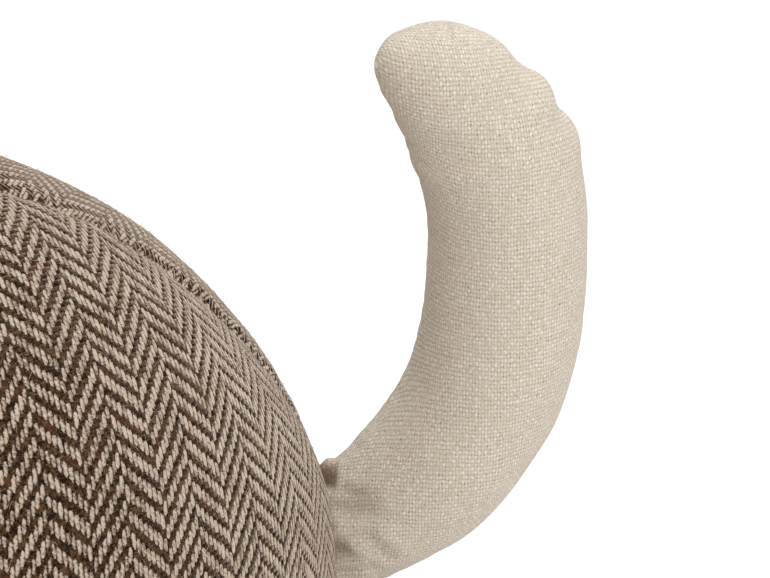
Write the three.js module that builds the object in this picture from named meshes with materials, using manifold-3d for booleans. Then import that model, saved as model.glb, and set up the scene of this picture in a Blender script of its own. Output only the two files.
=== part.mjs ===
// Weighted fabric door stop in the shape of a plump resting cat.
// Units are millimetres, +Z is up, the tail points along +X and the head along -X.
// The origin is the middle of the flat foot, on the floor.

import * as THREE from 'three';
import { mergeVertices } from 'three/addons/utils/BufferGeometryUtils.js';
import Module from 'manifold-3d';

const wasm = await Module();
wasm.setup();

// Clearance between stuffed pieces that are sewn to each other.
const SEWN_GAP = 0.3;

// Body: a stuffed cover of two side panels over a weighted foot.
const BODY_HALF_WIDTH = 86;
const BODY_RUMP_REACH = 90;
const BODY_FRONT_REACH = 102;
const BODY_BELT_HEIGHT = 53;
const BODY_RISE_ABOVE_BELT = 81;
const BODY_FULLNESS = 1.9;
const BODY_FOOT_SHARE = 0.76;
const BODY_SEGMENTS_AROUND = 68;
const BODY_ROWS_FOOT = 3;
const BODY_ROWS_FLANK = 9;
const BODY_ROWS_BACK = 18;
const BODY_SEAM_CROWDING = 0.66;

// Centre seam over the back: the stuffing bulges on both sides of it.
const SEAM_DEPTH = 1.3;
const SEAM_HALF_WIDTH = 5;
const SEAM_FADE_HEIGHT = 12;

// Tail: a stuffed tube, measured from its seat on the rump.
const TAIL_SEAT_HEIGHT = 55.6;
const TAIL_SUNK_START = 9;
const TAIL_SEAT_HANDLE = { out: 20, up: 6 };
const TAIL_LOWER_HANDLE = { out: 32.4, up: 22 };
const TAIL_WIDEST = { out: 32.2, up: 55 };
const TAIL_UPPER_HANDLE = { out: 32.4, up: 74 };
const TAIL_TIP_HANDLE = { out: 24, up: 89.5 };
const TAIL_TIP = { out: 8.8, up: 91.4 };
const TAIL_SEAT_RADIUS = 11.2;
const TAIL_FULL_RADIUS = 14.4;
const TAIL_NECK_RADIUS = 11.8;
const TAIL_SWELL_LENGTH = 30;
const TAIL_CAP_LENGTH = 17;
const TAIL_TAPER_LENGTH = 12;
const TAIL_TIP_ROUNDNESS = 0.62;
const TAIL_FLATNESS = 0.96;
const TAIL_SEGMENTS_AROUND = 28;
const TAIL_ROWS = 36;

// Gathers where the tail is drawn together and sewn to the rump.
const GATHER_COUNT = 7;
const GATHER_DEPTH = 0.9;
const GATHER_LENGTH = 9;

// Head: a stuffed ball with a low muzzle, sewn to the front of the body.
const HEAD_CENTRE_FORWARD = 90;
const HEAD_CENTRE_HEIGHT = 119;
const HEAD_HALF_DEPTH = 36;
const HEAD_HALF_WIDTH = 44;
const HEAD_HALF_HEIGHT = 37;
const MUZZLE_LENGTH = 5.5;
const MUZZLE_SPREAD = 0.5;
const MUZZLE_DROP = 0.3;
const HEAD_SEGMENTS_AROUND = 36;
const HEAD_ROWS = 20;

// Ears: flat stuffed triangles.
const EAR_HEIGHT = 33;
const EAR_HALF_WIDTH = 16;
const EAR_HALF_THICKNESS = 5;
const EAR_SUNK_DEPTH = 8;
const EAR_SIDE_ANGLE = 33;
const EAR_TIP_ROUNDNESS = 0.62;
const EAR_SEGMENTS_AROUND = 16;
const EAR_ROWS = 10;

// Face: two domed beads and a padded nose.
const EYE_RADIUS = 4;
const EYE_PROUD = 2.4;
const EYE_SIDE_ANGLE = 24;
const EYE_RAISE_ANGLE = 12;
const NOSE_HALF_WIDTH = 5;
const NOSE_HALF_HEIGHT = 3.6;
const NOSE_PROUD = 2.2;
const NOSE_DROP_ANGLE = 6;
const TRIM_SEGMENTS = 14;
const TRIM_ROWS = 8;

const TWEED_COLOUR = '#8a7666';
const LINEN_COLOUR = '#cbbda7';
const BEAD_COLOUR = '#1c1715';
const NOSE_COLOUR = '#5a463a';

// A closed surface: place(around, along) gives the point for two values from 0 to 1.
// The start and the end of "along" each shrink to one point.
function closedSurface(segmentsAround, rows, place) {
  const geometry = new THREE.SphereGeometry(1, segmentsAround, rows);
  const position = geometry.attributes.position;
  const point = new THREE.Vector3();
  for (let row = 0; row <= rows; row += 1) {
    for (let step = 0; step <= segmentsAround; step += 1) {
      const around = (step % segmentsAround) / segmentsAround;
      const along = 1 - row / rows;
      place(around, along, point);
      position.setXYZ(row * (segmentsAround + 1) + step, point.x, point.y, point.z);
    }
  }
  return joinVertices(geometry);
}

// Shared corners are merged so that the surface is one closed mesh.
function joinVertices(geometry) {
  geometry.deleteAttribute('normal');
  geometry.deleteAttribute('uv');
  return mergeVertices(geometry, 1e-4);
}

function toSolid(geometry) {
  return new wasm.Manifold(new wasm.Mesh({
    numProp: 3,
    vertProperties: Float32Array.from(geometry.attributes.position.array),
    triVerts: Uint32Array.from(geometry.index.array),
  }));
}

function toGeometry(solid) {
  const mesh = solid.getMesh();
  const geometry = new THREE.BufferGeometry();
  geometry.setAttribute('position', new THREE.BufferAttribute(mesh.vertProperties, 3));
  geometry.setIndex(new THREE.BufferAttribute(mesh.triVerts, 1));
  return geometry;
}

// What is left of one piece outside another.
function trimmedBy(geometry, neighbour) {
  return toGeometry(toSolid(geometry).subtract(toSolid(neighbour)));
}

function smoothStep(value) {
  const t = THREE.MathUtils.clamp(value, 0, 1);
  return t * t * (3 - 2 * t);
}

// How far the body spreads at a height above the belt, as a share of its reach.
function spreadAbove(heightAboveBelt) {
  const share = THREE.MathUtils.clamp(heightAboveBelt / BODY_RISE_ABOVE_BELT, 0, 1);
  return (1 - share ** BODY_FULLNESS) ** (1 / BODY_FULLNESS);
}

// The body's outline from the middle of the foot to the top of the back.
function bodyProfile(along) {
  const rows = BODY_ROWS_FOOT + BODY_ROWS_FLANK + BODY_ROWS_BACK;
  const row = along * rows;
  if (row <= BODY_ROWS_FOOT) {
    return { spread: BODY_FOOT_SHARE * row / BODY_ROWS_FOOT, height: 0 };
  }
  if (row <= BODY_ROWS_FOOT + BODY_ROWS_FLANK) {
    const angle = (row - BODY_ROWS_FOOT) / BODY_ROWS_FLANK * Math.PI / 2;
    return {
      spread: BODY_FOOT_SHARE + (1 - BODY_FOOT_SHARE) * Math.sin(angle),
      height: BODY_BELT_HEIGHT * (1 - Math.cos(angle)),
    };
  }
  const angle = (rows - row) / BODY_ROWS_BACK * Math.PI / 2;
  const rise = Math.cos(angle) ** (2 / BODY_FULLNESS);
  return {
    spread: Math.sin(angle) ** (2 / BODY_FULLNESS),
    height: BODY_BELT_HEIGHT + BODY_RISE_ABOVE_BELT * rise,
  };
}

// The body, or the same shape grown outwards as a clearance for what is sewn to it.
function bodySurface(grown) {
  const place = (around, along, point) => {
    const { spread, height } = bodyProfile(along);
    const even = around * Math.PI * 2;
    const turn = even - BODY_SEAM_CROWDING * Math.sin(2 * even) / 2;
    const reach = (Math.cos(turn) > 0 ? BODY_RUMP_REACH : BODY_FRONT_REACH) + grown;
    const y = (BODY_HALF_WIDTH + grown) * spread * Math.sin(turn);
    const seam = SEAM_DEPTH * Math.exp(-((y / SEAM_HALF_WIDTH) ** 2))
      * smoothStep(height / SEAM_FADE_HEIGHT);
    const rise = Math.max(height - BODY_BELT_HEIGHT, 0) / BODY_RISE_ABOVE_BELT;
    const lift = height > 0 ? grown * rise : -grown;
    point.set(
      (reach * spread - seam * (1 - rise)) * Math.cos(turn),
      y,
      height + lift - seam * rise,
    );
  };
  const rows = BODY_ROWS_FOOT + BODY_ROWS_FLANK + BODY_ROWS_BACK;
  return closedSurface(BODY_SEGMENTS_AROUND, rows, place);
}

// The tail's middle line, from inside the rump out to the tip.
function tailCurve() {
  const seatX = BODY_RUMP_REACH * spreadAbove(TAIL_SEAT_HEIGHT - BODY_BELT_HEIGHT);
  const seat = new THREE.Vector3(seatX, 0, TAIL_SEAT_HEIGHT);
  const stop = ({ out, up }) => seat.clone().add(new THREE.Vector3(out, 0, up));
  const inward = seat.clone().sub(stop(TAIL_SEAT_HANDLE)).setLength(TAIL_SUNK_START);
  const route = new THREE.CurvePath();
  route.add(new THREE.LineCurve3(seat.clone().add(inward), seat));
  route.add(new THREE.CubicBezierCurve3(
    seat,
    stop(TAIL_SEAT_HANDLE),
    stop(TAIL_LOWER_HANDLE),
    stop(TAIL_WIDEST),
  ));
  route.add(new THREE.CubicBezierCurve3(
    stop(TAIL_WIDEST),
    stop(TAIL_UPPER_HANDLE),
    stop(TAIL_TIP_HANDLE),
    stop(TAIL_TIP),
  ));
  return route;
}

// The tail's radius at a distance from its seat, with the tip as a blunt round cap.
function tailRadius(distance, length) {
  const swell = smoothStep(distance / TAIL_SWELL_LENGTH);
  const fromNeck = length - TAIL_CAP_LENGTH - distance;
  const taper = smoothStep(1 - fromNeck / TAIL_TAPER_LENGTH);
  const tube = THREE.MathUtils.lerp(TAIL_SEAT_RADIUS, TAIL_FULL_RADIUS, swell);
  const tapered = THREE.MathUtils.lerp(tube, TAIL_NECK_RADIUS, taper);
  const intoCap = THREE.MathUtils.clamp(-fromNeck / TAIL_CAP_LENGTH, 0, 1);
  return tapered * (1 - intoCap ** 2) ** TAIL_TIP_ROUNDNESS;
}

function tailSurface() {
  const curve = tailCurve();
  const length = curve.getLength();
  const place = (around, along, point) => {
    // Rows crowd towards the tip, so that its cap is round.
    const share = Math.sin(along * Math.PI / 2) ** 1.25;
    const centre = curve.getPoint(share);
    const heading = curve.getTangent(share);
    const outward = new THREE.Vector3(heading.z, 0, -heading.x);
    const distance = share * length - TAIL_SUNK_START;
    const turn = around * Math.PI * 2;
    const gather = GATHER_DEPTH * Math.cos(GATHER_COUNT * turn)
      * Math.exp(-Math.abs(distance) / GATHER_LENGTH);
    const isEnd = along === 0 || along === 1;
    const radius = isEnd ? 0 : tailRadius(distance, length - TAIL_SUNK_START) + gather;
    point.copy(centre).addScaledVector(outward, radius * Math.cos(turn));
    point.y += radius * TAIL_FLATNESS * Math.sin(turn);
  };
  return closedSurface(TAIL_SEGMENTS_AROUND, TAIL_ROWS, place);
}

// The head's surface in a direction seen from its centre, -X being straight ahead.
function headPoint(direction, grown, point) {
  const ahead = Math.max(-direction.x, 0);
  const off = direction.y ** 2 + (direction.z + MUZZLE_DROP) ** 2;
  const muzzle = MUZZLE_LENGTH * ahead * Math.exp(-off / MUZZLE_SPREAD ** 2);
  point.set(
    -HEAD_CENTRE_FORWARD + direction.x * (HEAD_HALF_DEPTH + muzzle + grown),
    direction.y * (HEAD_HALF_WIDTH + grown),
    HEAD_CENTRE_HEIGHT + direction.z * (HEAD_HALF_HEIGHT + grown),
  );
  return point;
}

function headSurface(grown) {
  const direction = new THREE.Vector3();
  const place = (around, along, point) => {
    const tilt = along * Math.PI;
    const turn = around * Math.PI * 2;
    const ring = along === 0 || along === 1 ? 0 : Math.sin(tilt);
    direction.set(ring * Math.cos(turn), ring * Math.sin(turn), -Math.cos(tilt));
    headPoint(direction, grown, point);
  };
  return closedSurface(HEAD_SEGMENTS_AROUND, HEAD_ROWS, place);
}

// One ear, standing out of the head at an angle to the side.
function earSurface(side) {
  const angle = THREE.MathUtils.degToRad(EAR_SIDE_ANGLE) * side;
  const up = new THREE.Vector3(0, Math.sin(angle), Math.cos(angle));
  const across = new THREE.Vector3(0, Math.cos(angle), -Math.sin(angle));
  const seat = headPoint(up, -EAR_SUNK_DEPTH, new THREE.Vector3());
  const place = (around, along, point) => {
    const width = (1 - along ** 1.6) ** EAR_TIP_ROUNDNESS;
    const root = Math.min(1, along * EAR_ROWS);
    const turn = around * Math.PI * 2;
    const rise = Math.max(along - 1 / EAR_ROWS, 0) * EAR_ROWS / (EAR_ROWS - 1);
    point.copy(seat);
    point.addScaledVector(up, rise * (EAR_HEIGHT + EAR_SUNK_DEPTH));
    point.addScaledVector(across, EAR_HALF_WIDTH * width * root * Math.sin(turn));
    point.x += EAR_HALF_THICKNESS * width * root * Math.cos(turn);
  };
  return closedSurface(EAR_SEGMENTS_AROUND, EAR_ROWS, place);
}

// A small dome on the face, seen from the head's centre at two angles.
function faceDome(sideAngle, raiseAngle, halfWidth, halfHeight, proud) {
  const side = THREE.MathUtils.degToRad(sideAngle);
  const raise = THREE.MathUtils.degToRad(raiseAngle);
  const ahead = new THREE.Vector3(
    -Math.cos(side) * Math.cos(raise),
    Math.sin(side) * Math.cos(raise),
    Math.sin(raise),
  );
  const seat = headPoint(ahead, 0, new THREE.Vector3());
  const across = new THREE.Vector3(-Math.sin(side), -Math.cos(side), 0);
  const upwards = new THREE.Vector3().crossVectors(ahead, across);
  const place = (around, along, point) => {
    const tilt = along * Math.PI;
    const turn = around * Math.PI * 2;
    const ring = along === 0 || along === 1 ? 0 : Math.sin(tilt);
    point.copy(seat);
    point.addScaledVector(ahead, -proud * Math.cos(tilt));
    point.addScaledVector(across, halfWidth * ring * Math.cos(turn));
    point.addScaledVector(upwards, halfHeight * ring * Math.sin(turn));
  };
  return closedSurface(TRIM_SEGMENTS, TRIM_ROWS, place);
}

function clothMaterial(colour) {
  return new THREE.MeshStandardMaterial({ color: colour, roughness: 0.95, metalness: 0 });
}

function beadMaterial() {
  return new THREE.MeshStandardMaterial({ color: BEAD_COLOUR, roughness: 0.2, metalness: 0 });
}

function named(name, geometry, material) {
  const mesh = new THREE.Mesh(geometry, material);
  mesh.name = name;
  return mesh;
}

const doorStop = new THREE.Group();
const bodyClearance = bodySurface(SEWN_GAP);
const headClearance = headSurface(SEWN_GAP);

doorStop.add(named('weighted_body', bodySurface(0), clothMaterial(TWEED_COLOUR)));
doorStop.add(named('tail', trimmedBy(tailSurface(), bodyClearance), clothMaterial(LINEN_COLOUR)));
doorStop.add(named('head', trimmedBy(headSurface(0), bodyClearance), clothMaterial(LINEN_COLOUR)));

for (const [name, side] of [['left', -1], ['right', 1]]) {
  const ear = trimmedBy(earSurface(side), headClearance);
  doorStop.add(named(`${name}_ear`, ear, clothMaterial(LINEN_COLOUR)));
  const eye = faceDome(side * EYE_SIDE_ANGLE, EYE_RAISE_ANGLE, EYE_RADIUS, EYE_RADIUS, EYE_PROUD);
  doorStop.add(named(`${name}_eye`, trimmedBy(eye, headClearance), beadMaterial()));
}

const nose = faceDome(0, -NOSE_DROP_ANGLE, NOSE_HALF_WIDTH, NOSE_HALF_HEIGHT, NOSE_PROUD);
doorStop.add(named('nose', trimmedBy(nose, headClearance), clothMaterial(NOSE_COLOUR)));

export default doorStop;
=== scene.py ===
import bpy
import math
import numpy as np
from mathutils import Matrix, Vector, noise


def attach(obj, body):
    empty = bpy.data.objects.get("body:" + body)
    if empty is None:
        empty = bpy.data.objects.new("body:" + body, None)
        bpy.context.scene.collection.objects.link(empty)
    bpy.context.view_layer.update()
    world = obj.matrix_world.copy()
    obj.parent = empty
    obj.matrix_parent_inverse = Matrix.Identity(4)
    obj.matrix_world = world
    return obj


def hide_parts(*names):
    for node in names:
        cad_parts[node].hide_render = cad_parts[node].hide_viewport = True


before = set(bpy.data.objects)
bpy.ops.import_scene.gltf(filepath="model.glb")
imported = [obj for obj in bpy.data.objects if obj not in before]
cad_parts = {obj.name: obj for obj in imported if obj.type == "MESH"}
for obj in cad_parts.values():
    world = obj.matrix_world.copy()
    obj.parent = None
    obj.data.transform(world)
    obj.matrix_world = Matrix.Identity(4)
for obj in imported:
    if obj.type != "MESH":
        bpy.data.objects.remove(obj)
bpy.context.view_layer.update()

MM = 0.001
FULL_TURN = 2 * math.pi
TOUCHING = 0.1 * MM


# Camera, at the photograph's angle.

PICTURE_WIDTH_PX = 770
SENSOR_WIDTH_MM = 36
FOCAL_LENGTH_PX = 8400
CAMERA_TURN = math.radians(9)
CAMERA_RAISE = math.radians(25)
CAMERA_DISTANCE = 1500 * MM
CAMERA_AIM = Vector((101.38, 6.56, 99.9)) * MM

scene = bpy.context.scene
scene.view_settings.view_transform = "Standard"


def add_object(name, data):
    added = bpy.data.objects.new(name, data)
    scene.collection.objects.link(added)
    return added


def aim(thing, place, direction):
    """Puts the camera or a lamp in its place and turns it to a direction."""
    thing.location = place
    thing.rotation_mode = "QUATERNION"
    thing.rotation_quaternion = direction.to_track_quat("-Z", "Y")


camera_data = bpy.data.cameras.new("camera")
camera_data.sensor_width = SENSOR_WIDTH_MM
camera_data.lens = SENSOR_WIDTH_MM * FOCAL_LENGTH_PX / PICTURE_WIDTH_PX
looking = Vector((
    math.sin(CAMERA_TURN) * math.cos(CAMERA_RAISE),
    math.cos(CAMERA_TURN) * math.cos(CAMERA_RAISE),
    -math.sin(CAMERA_RAISE),
))
scene.camera = add_object("camera", camera_data)
aim(scene.camera, CAMERA_AIM - looking * CAMERA_DISTANCE, looking)


# Mesh tools.

def add_mesh(name, points, faces, finish):
    mesh = bpy.data.meshes.new(name)
    mesh.from_pydata(np.asarray(points, float).tolist(), [], faces)
    mesh.materials.append(finish)
    return add_object(name, mesh)


def new_piece(name, points, faces, finish, node):
    """A smooth piece that rides on the door stop and stands for one CAD node."""
    piece = add_mesh(name, points, faces, finish)
    piece.data.polygons.foreach_set("use_smooth", [True] * len(faces))
    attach(piece, "root")
    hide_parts(node)
    return piece


def closed_grid(around, rings):
    """Faces of a closed surface: its points are a start, then the rings, then an end."""
    faces = []
    last = 1 + (rings - 1) * around
    for step in range(around):
        following = (step + 1) % around
        faces.append((0, 1 + following, 1 + step))
        faces.append((last + step, last + following, last + around))
    for ring in range(rings - 1):
        near = 1 + ring * around
        far = near + around
        for step in range(around):
            following = (step + 1) % around
            faces.append((near + step, near + following, far + following, far + step))
    return faces


def read(rows, field, width=3, kind=float):
    """One field of all the points, corners, faces or triangles of a mesh."""
    flat = np.empty(len(rows) * width, kind)
    rows.foreach_get(field, flat)
    return flat if width == 1 else flat.reshape(-1, width)


def points_of(mesh):
    return read(mesh.vertices, "co")


def normals_of(mesh):
    return read(mesh.vertex_normals, "vector")


def corner_points(mesh):
    """The number of the point at each corner of each face."""
    return read(mesh.loops, "vertex_index", 1, int)


def corner_middles(mesh):
    """For each corner, the middle of its face."""
    corners_a_face = read(mesh.polygons, "loop_total", 1, int)
    return np.repeat(read(mesh.polygons, "center"), corners_a_face, axis=0)


def move_points(mesh, points):
    mesh.vertices.foreach_set("co", np.asarray(points, np.float32).ravel())
    mesh.update()


def push_out(mesh, out):
    """Moves each point along its normal."""
    move_points(mesh, points_of(mesh) + normals_of(mesh) * out[:, None])


def refine(piece, levels):
    """Subdivides the mesh smoothly."""
    finer = piece.modifiers.new("finer mesh", "SUBSURF")
    finer.levels = levels
    finer.render_levels = levels
    held = bpy.context.evaluated_depsgraph_get()
    finished = bpy.data.meshes.new_from_object(
        piece.evaluated_get(held), preserve_all_data_layers=True, depsgraph=held)
    piece.modifiers.clear()
    piece.data = finished


SPARE_CLOTH = 0.02
FILLING_PRESSURE = 1200.0
FILLING_MOMENTS = 20
CLOTH_STIFFNESS = 0.05
CLOTH_QUALITY = 6


def fill_cover(piece, full, sewn, slack, furthest):
    """The filling swells the cover as cloth under pressure, with a little spare cloth.

    The cover starts inside its full points and ends around them. Sewn points don't swell, so
    the seams lie lower than the panels.
    """
    mesh = piece.data
    outwards = normals_of(mesh)
    start = full - outwards * (furthest * slack)[:, None]
    move_points(mesh, start)
    group = piece.vertex_groups.new(name="sewn")
    group.add(np.flatnonzero(sewn).tolist(), 1.0, "REPLACE")
    cover = piece.modifiers.new("filling", "CLOTH")
    cover.settings.use_pressure = True
    cover.settings.uniform_pressure_force = FILLING_PRESSURE
    cover.settings.shrink_min = -SPARE_CLOTH
    cover.settings.effector_weights.gravity = 0
    cover.settings.vertex_group_mass = group.name
    cover.settings.quality = CLOTH_QUALITY
    cover.settings.bending_stiffness = CLOTH_STIFFNESS
    cover.point_cache.frame_start = 1
    cover.point_cache.frame_end = FILLING_MOMENTS
    for moment in range(1, FILLING_MOMENTS + 1):
        scene.frame_set(moment)
    held = bpy.context.evaluated_depsgraph_get()
    moved = points_of(piece.evaluated_get(held).data) - start
    length = np.maximum(np.linalg.norm(moved, axis=1, keepdims=True), 1e-9)
    moved *= furthest * np.tanh(length / furthest) / length
    swell = (moved * outwards).sum(1)
    usual = np.average(swell, weights=slack * ~sewn)
    piece.modifiers.clear()
    piece.vertex_groups.clear()
    move_points(mesh, full + moved - outwards * (usual * slack)[:, None])
    scene.frame_set(1)


def smooth_step(x):
    x = np.clip(x, 0, 1)
    return x * x * (3 - 2 * x)


def bell(x):
    return np.exp(-x * x)


def roughly(points, size, seed=0.0):
    """Smooth noise from about -1 to 1, with lumps of about the given size."""
    scaled = (np.asarray(points) / size + seed).tolist()
    return np.array([noise.noise(place) for place in scaled])


def lumps_of(points, lumps):
    """Lumps of the filling. Each kind gives its size in mm, its seed and its height in mm."""
    return sum(roughly(points, size * MM, seed) * height * MM for size, seed, height in lumps)


def write_grain(mesh, warp, weft, closeness=0.0):
    """The cloth's threads at each corner, counted both ways from the panel's zero.

    The closeness is how near the tweed is to its seam, or, on the linen, how deep the painted shade
    in its gathers is.
    """
    grain = np.stack(np.broadcast_arrays(warp, weft, closeness), 1)
    layer = mesh.attributes.new("grain", "FLOAT_VECTOR", "CORNER")
    layer.data.foreach_set("vector", grain.astype(np.float32).ravel())


# Material tools.

def linear(red, green, blue):
    """A colour given as on a paint chart, 0 to 255, as Blender keeps it."""
    parts = [c / 255 for c in (red, green, blue)]
    return tuple(c / 12.92 if c <= 0.04045 else ((c + 0.055) / 1.055) ** 2.4
                 for c in parts) + (1.0,)


class Field:
    """A value that changes over a surface. Sums on it add Math nodes."""

    def __init__(self, finish, socket):
        self.finish = finish
        self.socket = socket

    def output(self, name):
        return Field(self.finish, self.socket.node.outputs[name])

    def maths(self, operation, *values):
        return self.finish.node("ShaderNodeMath", {"operation": operation},
                                dict(enumerate(values)))

    def __add__(self, other):
        return self.maths("ADD", self, other)

    __radd__ = __add__

    def __sub__(self, other):
        return self.maths("SUBTRACT", self, other)

    def __rsub__(self, other):
        return self.maths("SUBTRACT", other, self)

    def __mul__(self, other):
        return self.maths("MULTIPLY", self, other)

    __rmul__ = __mul__

    def __truediv__(self, other):
        return self.maths("DIVIDE", self, other)

    def __rtruediv__(self, other):
        return self.maths("DIVIDE", other, self)

    def __gt__(self, other):
        return self.maths("GREATER_THAN", self, other)

    def __lt__(self, other):
        return self.maths("LESS_THAN", self, other)


def sine(value):
    return value.maths("SINE", value)


def cosine(value):
    return value.maths("COSINE", value)


def whole(value):
    return value.maths("FLOOR", value)


def fraction(value):
    return value.maths("FRACT", value)


def without_sign(value):
    return value.maths("ABSOLUTE", value)


def larger(first, second):
    return first.maths("MAXIMUM", first, second)


def smaller(first, second):
    return first.maths("MINIMUM", first, second)


class Finish:
    """The nodes of a material or of the world."""

    def __init__(self, owner):
        owner.use_nodes = True
        self.owner = owner
        self.tree = owner.node_tree
        self.tree.nodes.clear()

    def node(self, kind, settings, sockets, output=0):
        made = self.tree.nodes.new(kind)
        for name, value in settings.items():
            setattr(made, name, value)
        for name, value in sockets.items():
            if isinstance(value, Field):
                self.tree.links.new(value.socket, made.inputs[name])
            else:
                made.inputs[name].default_value = value
        return Field(self, made.outputs[output] if made.outputs else None)

    def mix(self, share, first, second, blend="MIX"):
        """Between two colours."""
        return self.node("ShaderNodeMix", {"data_type": "RGBA", "blend_type": blend},
                         {0: share, 6: first, 7: second}, 2)

    def grey(self, value):
        """A number as a colour."""
        return self.node("ShaderNodeCombineColor", {}, {0: value, 1: value, 2: value})

    def limited(self, value, low, high, to_low=0.0, to_high=1.0):
        """An even step between two levels."""
        return self.node("ShaderNodeMapRange", {"interpolation_type": "SMOOTHSTEP"},
                         {"Value": value, "From Min": low, "From Max": high,
                          "To Min": to_low, "To Max": to_high})

    def place(self):
        """The place on the object."""
        return self.node("ShaderNodeTexCoord", {}, {}, "Object")

    def at(self, x, y, z=0.0):
        return self.node("ShaderNodeCombineXYZ", {}, {"X": x, "Y": y, "Z": z})

    def noise(self, place, scale, detail=2.0, roughness=0.5):
        return self.node("ShaderNodeTexNoise", {},
                         {"Vector": place, "Scale": scale, "Detail": detail,
                          "Roughness": roughness})

    def drift(self, place, scale, width, detail=1.0):
        """How far a thread strays from its straight course, in threads."""
        return (self.noise(place, scale, detail) - 0.5) * width

    def chance(self, x, y, z=0.0):
        """A number from 0 to 1 that differs from one thread or crossing to the next."""
        return self.node("ShaderNodeTexWhiteNoise", {"noise_dimensions": "3D"},
                         {"Vector": self.at(x, y, z)})

    def bump(self, strength, depth, height):
        return self.node("ShaderNodeBump", {},
                         {"Strength": strength, "Distance": depth, "Height": height})

    def surface(self, sockets):
        """The shader goes to the material's surface."""
        shader = self.node("ShaderNodeBsdfPrincipled", {}, sockets)
        self.node("ShaderNodeOutputMaterial", {}, {"Surface": shader})
        return self.owner


def new_finish(name):
    return Finish(bpy.data.materials.new(name))


def threads_of(cloth):
    """The place on the object, and what write_grain keeps: warp, weft and closeness."""
    grain = cloth.node("ShaderNodeAttribute", {"attribute_name": "grain"}, {}, "Vector")
    parts = cloth.node("ShaderNodeSeparateXYZ", {}, {"Vector": grain})
    return cloth.place(), parts.output("X"), parts.output("Y"), parts.output("Z")


def round_profile(across):
    """Height over a thread's width: round in the middle and low at both edges."""
    off_centre = across * 2 - 1
    return 1.0 - off_centre * off_centre


def flat_profile(across):
    """Height over a flattened thread's width: level, with steep edges."""
    off_centre = across * 2 - 1
    squared = off_centre * off_centre
    return 1.0 - squared * squared


TWILL_REPEAT = 4
PICK_ANGLE = FULL_TURN / TWILL_REPEAT
STRIPE_YARNS = 8
STRIPE_PAIR = 2 * STRIPE_YARNS
FLOAT_LEAN = 0.17
# How many lumps of noise lie along a metre: stray fibres, lint and knots at the seam.
FUZZ_SCALE = 2600.0
LINT_SCALE = 1100.0
KNOT_SCALE = 800.0
TWEED_RELIEF = 0.3 * MM
CREAM_YARN = (linear(136, 115, 95), linear(209, 191, 173))
BROWN_YARN = (linear(29, 17, 7), linear(102, 73, 49))
RUSTY_BROWN = linear(92, 48, 36)
TWEED_SHEEN = linear(248, 229, 211)


def tweed_finish():
    """Herringbone: twill, two over and two under, whose slope turns after every eight yarns."""
    cloth = new_finish("herringbone tweed")
    place, warp, weft, beside_seam = threads_of(cloth)
    warp = warp + cloth.drift(place, 90.0, 0.6, 2.0) + cloth.drift(place, 600.0, 0.35)
    weft = weft + cloth.drift(place, 120.0, 0.9) + cloth.drift(place, 500.0, 0.5)
    fuzz = cloth.noise(place, FUZZ_SCALE, 2.0, 0.65) - 0.5
    lint = cloth.noise(place, LINT_SCALE, 1.0) - 0.5

    yarn = whole(warp)
    pick = whole(weft)
    across_yarn = warp - yarn
    across_pick = weft - pick
    column = fraction(warp / STRIPE_PAIR) * STRIPE_PAIR
    counted = whole(column)
    turned = counted > STRIPE_YARNS - 0.5
    turned_picks = turned * (TWILL_REPEAT / 2)
    rise = smaller(counted, STRIPE_PAIR - 1 - counted) + turned_picks
    slope = smaller(column - 0.5, STRIPE_PAIR - 0.5 - column) + turned_picks

    # The light yarn floats over two picks, and leans with the slope as it does.
    floats = (weft + rise) / TWILL_REPEAT + 0.25
    from_middle = (fraction(floats) - 0.5) * TWILL_REPEAT
    leaning = across_yarn + from_middle * (0.5 - turned) * FLOAT_LEAN
    over = sine((weft + rise) * PICK_ANGLE)
    under = sine((pick + 0.5 + slope) * PICK_ANGLE)
    light_round = round_profile(leaning)
    each_float = cloth.chance(yarn, whole(floats))
    width = light_round + (each_float - 0.5) * 0.4
    light_height = light_round * 1.3 + over * 1.1 + (each_float - 0.5) * 0.5
    dark_height = round_profile(across_pick) * 0.8 - under * 0.95
    knotty = beside_seam * (cloth.noise(place, KNOT_SCALE, 1.0) - 0.45) * 5.5
    ahead = light_height - 0.98 + fuzz * 1.9 + lint + knotty
    is_light = (cloth.limited(ahead, -0.3, 0.35)
                * cloth.limited(width + fuzz * 1.6, 0.2, 0.72))
    height = larger(light_height, dark_height) + fuzz * 0.8

    each_pick = cloth.noise(cloth.at(warp * 0.3, pick * 3.1, 4.0), 1.0, 1.0)
    twist = sine(across_yarn * 6.3 + weft * 5.5)
    # The light_round term paints a highlight down the middle of each light float, with painted
    # shade at its sides.
    light_tone = (each_float * 0.45 + light_round * 0.3 + lint * 1.1 + twist * 0.2
                  + fuzz * 1.8 + 0.1)
    light = cloth.mix(cloth.limited(light_tone, 0.0, 1.0), *CREAM_YARN)
    dark_tone = each_pick * 0.7 + lint * 2.2 + fuzz * 2.4 + 0.1
    dark = cloth.mix(cloth.limited(dark_tone, 0.0, 1.1), *BROWN_YARN)
    along_picks = cloth.at(warp * 0.12, pick * 5.3, 9.0)
    rusty = cloth.limited(cloth.noise(along_picks, 1.0, 0.0), 0.66, 0.74)
    dark = cloth.mix(rusty * 0.45, dark, RUSTY_BROWN)
    colour = cloth.mix(is_light, dark, light)
    # Painted shade: the colour is darkened where the weave lies low, in the gaps between the yarns.
    painted_gap_shade = cloth.limited(height, 0.2, 1.3, 0.42, 1.0)
    colour = cloth.mix(1.0, colour, cloth.grey(painted_gap_shade), "MULTIPLY")
    return cloth.surface({
        "Base Color": colour, "Roughness": 0.92, "Normal": cloth.bump(0.9, TWEED_RELIEF, height),
        "Specular IOR Level": 0.1, "Sheen Weight": 1.0, "Sheen Roughness": 0.25,
        "Sheen Tint": TWEED_SHEEN,
    })


FLAX_SCALE = 3000.0
LINEN_RELIEF = 0.12 * MM
LINEN_YARN = (linear(200, 187, 169), linear(238, 230, 217))
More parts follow.
